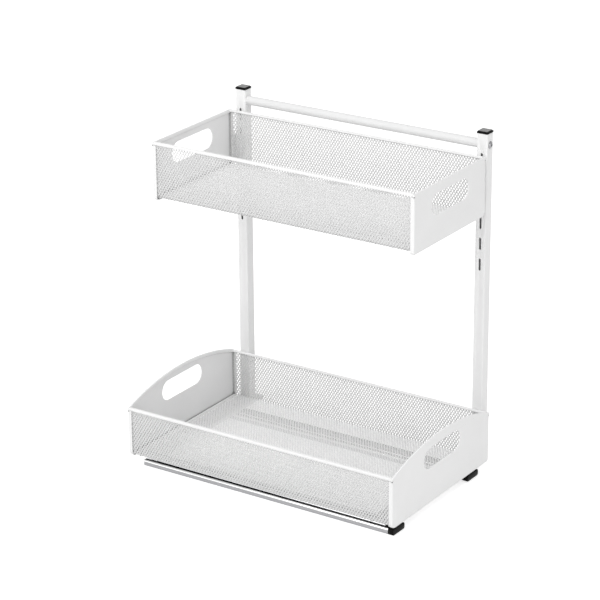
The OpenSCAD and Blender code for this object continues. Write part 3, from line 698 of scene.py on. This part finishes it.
def basket_mesh_pieces(basket):
    """The floor and both walls of expanded metal, with one lattice that runs on round the
    bends from wall to floor to wall."""
    wall_front = basket.front + SHEET + MESH_PLANE
    wall_back = basket.back - SHEET - MESH_PLANE
    floor = basket.bottom + basket.floor_height + MESH_PLANE
    top = basket.bottom + basket.wall_height - MESH_TOP_GAP
    curve = bpy.data.curves.new(basket.name + "_mesh_profile", "CURVE")
    curve.dimensions = "3D"
    line = curve.splines.new("POLY")
    corners = [(wall_front, top), (wall_front, floor), (wall_back, floor), (wall_back, top)]
    line.points.add(len(corners) - 1)
    for point, (y, z) in zip(line.points, corners):
        point.co = (0, y * MM, z * MM, 1)
    profile = bpy.data.objects.new(curve.name, curve)
    bpy.context.scene.collection.objects.link(profile)

    # Lengths along the profile, and the two half pitches of a rhombus
    r = MESH_BEND_RADIUS
    wall = top - floor - r
    bend = r * math.pi / 2
    across = wall_back - wall_front - 2 * r
    whole = 2 * wall + 2 * bend + across
    inside = basket.half - SHEET
    half_length = inside - MESH_END_GAP
    a, b = MESH_PITCH_ALONG / 2, MESH_PITCH_ROUND / 2
    half_width = a * b / math.hypot(a, b)
    seams = [0, wall + bend, wall + bend + across, whole]
    spare_rows = 2
    settings = {
        "Half Length": (half_length - a) * MM, "Middle": whole / 2 * MM, "Lean": MESH_LEAN,
        "Pitch Along": MESH_PITCH_ALONG * MM, "Pitch Round": MESH_PITCH_ROUND * MM,
        "Opening": 1 - MESH_STRAND / 2 / half_width, "Thickness": MESH_THICKNESS * MM,
        "Relief": MESH_RELIEF * MM, "Bend Radius": r * MM,
        "Lattice Size": 2 * math.ceil((half_length / a + whole / 2 / b) / 2 + spare_rows) + 1}
    edge = inside - SELVAGE_GAP
    depths = (wall_front + r, wall_back - r)
    selvages = [(low, low + SELVAGE_WIDTH * MM, depths[0] * MM, depths[1] * MM,
                 (floor - MESH_THICKNESS / 2) * MM, (floor + MESH_THICKNESS / 2) * MM)
                for low in (-edge * MM, (edge - SELVAGE_WIDTH) * MM)]

    # Each sheet ends between two rows of rhombi, so that no row is cut or left out
    for where, start, end in zip(("front", "floor", "rear"), seams, seams[1:]):
        rows = [round(((s - whole / 2) / b - 0.5)) + 0.5 for s in (start, end)]
        limits = [whole / 2 + row * b for row in rows]
        mesh_sheet_piece(
            f"{basket.name}_mesh_{where}_sheet", f"{basket.name}_mesh_{where}", basket.body,
            profile, {**settings, "From": limits[0] * MM, "To": limits[1] * MM},
            *((FLOOR_COAT, selvages) if where == "floor" else (SHADED_WALL_COAT,)))
    bpy.data.objects.remove(profile)


def dress_basket(basket):
    """All the sheet pieces of one basket."""
    for side in (-1, 1):
        end_panel_piece(basket, side)
    rim_piece(basket, "front", basket.front + SHEET + MESH_PLANE, FRONT_RIM_HEIGHT)
    rim_piece(basket, "rear", basket.back - SHEET - MESH_PLANE, REAR_RIM_HEIGHT)
    basket_mesh_pieces(basket)


dress_basket(Basket("lower", "carriage", rise=20.5, wall_height=68.5, front_radius=8.0,
                    rear_radius=3.0, floor_height=2.5))
dress_basket(Basket("upper", "upper_basket", rise=0.0, wall_height=77.5, front_radius=4.0,
                    rear_radius=5.0, floor_height=3.0))


# ---------- CAD nodes that stay ----------

SLOT_OF = {part["node"]: part["material_slot"] for part in frame["record"]["subparts"]}


def soften_node(node, width):
    """Rounds the edges of a CAD node's solid by modifiers, over its own mesh."""
    weld = node.modifiers.new("weld", "WELD")
    weld.merge_threshold = 1e-6
    flat = node.modifiers.new("merge_flats", "DECIMATE")
    flat.decimate_type = "DISSOLVE"
    flat.angle_limit = math.radians(0.5)
    round_edges(node, width)


# Rounding of each node's edges, in millimetres
SOFTENED = {"post_left": 0.3, "post_right": 0.3, "post_cap_left": 0.6, "post_cap_right": 0.6,
            "rail_stop_front": 0.8, "rail_stop_rear": 0.8, "hook_bracket_left": 0.3,
            "hook_bracket_right": 0.3, "cross_member_left": 0.5, "cross_member_right": 0.5,
            "outer_rail_front": 0.3, "outer_rail_rear": 0.3, "inner_rail_front": 0.3,
            "inner_rail_rear": 0.3, "crossbar_bolts": 0.25, "spacer_bushes": 0.3}
OWN_FINISH = {"crossbar": BAR_COAT, "crossbar_bolts": BOLT, "outer_rail_front": OUTER_SLIDE,
              "outer_rail_rear": OUTER_SLIDE, "inner_rail_front": INNER_SLIDE,
              "inner_rail_rear": INNER_SLIDE,
              "post_cap_left": SHEEN_TOPPED_BLACK, "post_cap_right": SHEEN_TOPPED_BLACK}
for node_name, node in frame["nodes"].items():
    if not node.hide_render:
        node.data.materials.clear()
        node.data.materials.append(OWN_FINISH.get(node_name, FINISHES[SLOT_OF[node_name]]))
        for polygon in node.data.polygons:
            polygon.use_smooth = False
        if node_name in SOFTENED:
            soften_node(node, SOFTENED[node_name])


# ---------- Stage, lights and camera ----------

def seen_rays(tree):
    """One for the rays of the camera, of gloss and of see-through surfaces, and nought for the
    rest."""
    rays = tree.nodes.new("ShaderNodeLightPath").outputs
    return maths(tree, "MAXIMUM", rays["Is Camera Ray"],
                 maths(tree, "MAXIMUM", rays["Is Glossy Ray"], rays["Is Transmission Ray"]))


def pale_floor():
    """A white floor that the camera and glossy surfaces see as white, with the shadow kept."""
    bpy.ops.mesh.primitive_plane_add(size=FLOOR_SIZE, location=(0, 0, -FLOOR_DROP))
    floor = bpy.context.object
    floor.name = "pale_floor"
    material = bpy.data.materials.new("pale_floor")
    material.use_nodes = True
    tree = material.node_tree
    shader = tree.nodes["Principled BSDF"]
    shader.inputs["Base Color"].default_value = (*grey(0.82), 1)
    shader.inputs["Roughness"].default_value = 0.9
    shader.inputs["Specular IOR Level"].default_value = 0.0
    shader.inputs["Emission Color"].default_value = (1, 1, 1, 1)
    tree.links.new(maths(tree, "MULTIPLY", seen_rays(tree), FLOOR_GLOW),
                   shader.inputs["Emission Strength"])
    floor.data.materials.append(material)


def studio_world():
    """An even white studio. The camera and glossy surfaces see it as white."""
    world = bpy.data.worlds.new("studio")
    bpy.context.scene.world = world
    world.use_nodes = True
    tree = world.node_tree
    back = tree.nodes["Background"]
    back.inputs["Color"].default_value = (1, 1, 1, 1)
    tree.links.new(maths(tree, "MAXIMUM", seen_rays(tree), WORLD_STRENGTH),
                   back.inputs["Strength"])


def softbox(name, place, size, power):
    """A square lamp that faces the middle of the object."""
    light = bpy.data.lights.new(name, "AREA")
    light.shape = "SQUARE"
    light.size = size
    light.energy = power
    lamp = bpy.data.objects.new(name, light)
    bpy.context.scene.collection.objects.link(lamp)
    lamp.location = place
    ahead = Vector(SOFTBOX_AIM) - Vector(place)
    lamp.rotation_euler = ahead.to_track_quat("-Z", "Y").to_euler()


def set_camera():
    """The photograph's viewpoint: above the front right corner, through a long lens."""
    place, aim = Vector(CAMERA_PLACE), Vector(CAMERA_AIM)
    roll = math.radians(CAMERA_ROLL)
    ahead = (aim - place).normalized()
    level = ahead.cross(Vector((0, 0, 1))).normalized()
    upright = level.cross(ahead)
    right = level * math.cos(roll) + upright * math.sin(roll)
    up = upright * math.cos(roll) - level * math.sin(roll)
    camera = bpy.data.cameras.new("camera")
    camera.sensor_width = 36
    camera.lens = CAMERA_LENS
    camera.clip_end = 50
    holder = bpy.data.objects.new("camera", camera)
    bpy.context.scene.collection.objects.link(holder)
    turn = Matrix((right, up, -ahead)).transposed().to_4x4()
    holder.matrix_world = Matrix.Translation(place) @ turn
    bpy.context.scene.camera = holder


pale_floor()
studio_world()
for softbox_name, (softbox_place, softbox_size, softbox_power) in SOFTBOXES.items():
    softbox(softbox_name, softbox_place, softbox_size, softbox_power)
set_camera()
bpy.context.scene.view_settings.view_transform = "Standard"
